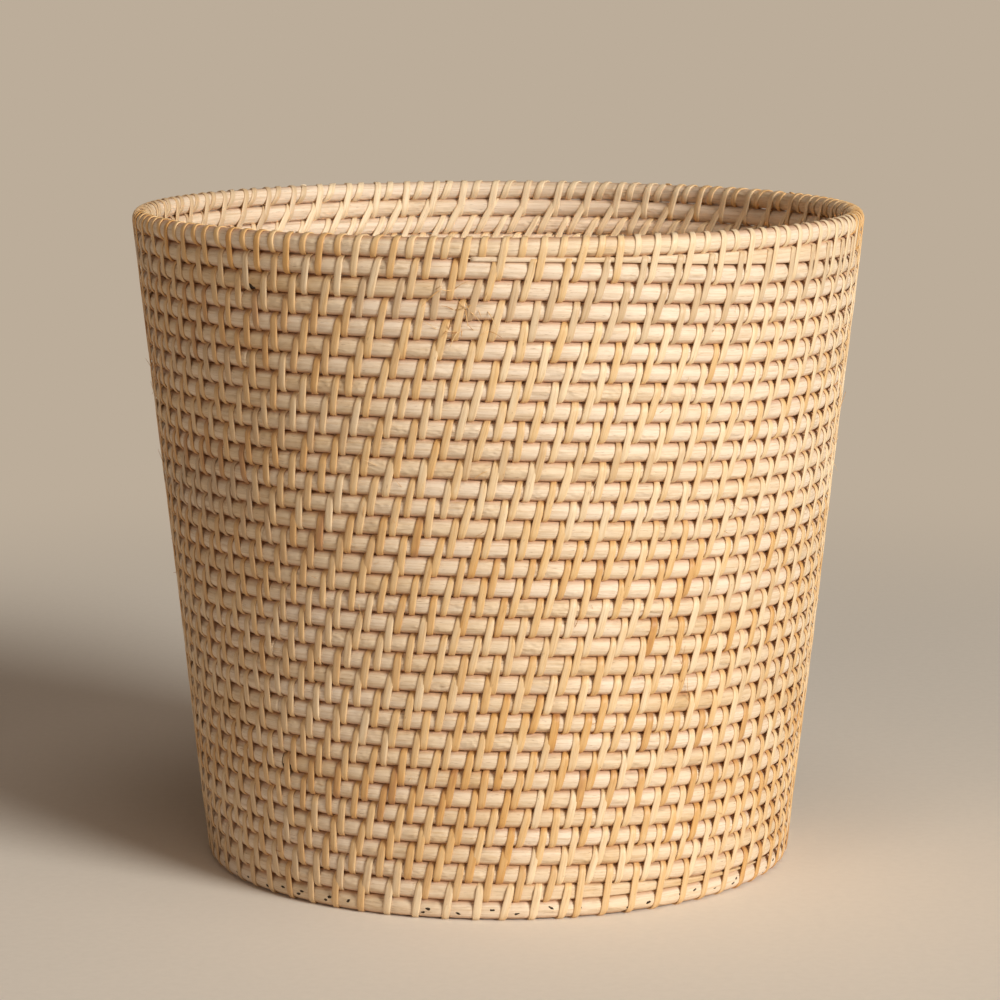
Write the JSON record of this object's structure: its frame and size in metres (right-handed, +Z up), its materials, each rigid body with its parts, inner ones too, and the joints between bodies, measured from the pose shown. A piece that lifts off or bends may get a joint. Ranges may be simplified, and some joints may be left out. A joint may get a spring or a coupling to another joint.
{
  "type": "wastebasket",
  "caption": "Round open wastebasket of coiled rattan rod laced row to row with split peel, flared to the rim, with a board base nailed in the foot ring.",
  "frame": {"origin": "centre of the footprint, on the floor under the base", "axes": "+Z up along the basket's axis, -Y the side that faces the viewer"},
  "size_m": [0.3065, 0.3067, 0.2753],
  "materials": {
    "cane": "raw rattan core, matte, fine long fibres",
    "peel": "split rattan peel, satin, golden tan",
    "plywood": "thin plywood, bare",
    "brad": "dark oxidised wire"
  },
  "bodies": {
    "root": {"base_board": "plywood", "foot_brads": "brad", "foot_ring": "cane", "foot_wedge": "cane", "foot_lacing": "peel", "wall_rod_01": "cane", "wall_rod_02": "cane", "wall_rod_03": "cane", "wall_rod_04": "cane", "wall_rod_05": "cane", "wall_rod_06": "cane", "wall_rod_07": "cane", "wall_rod_08": "cane", "wall_rod_09": "cane", "wall_rod_10": "cane", "wall_rod_11": "cane", "wall_lacing_01": "peel", "wall_lacing_02": "peel", "wall_lacing_03": "peel", "wall_lacing_04": "peel", "wall_lacing_05": "peel", "wall_lacing_06": "peel", "wall_lacing_07": "peel", "wall_lacing_08": "peel", "wall_lacing_09": "peel", "wall_lacing_10": "peel", "wall_lacing_11": "peel", "rim_wedge": "cane", "rim_ring": "cane", "rim_lacing": "peel", "rim_short_wraps": "peel"}
  },
  "joints": []
}
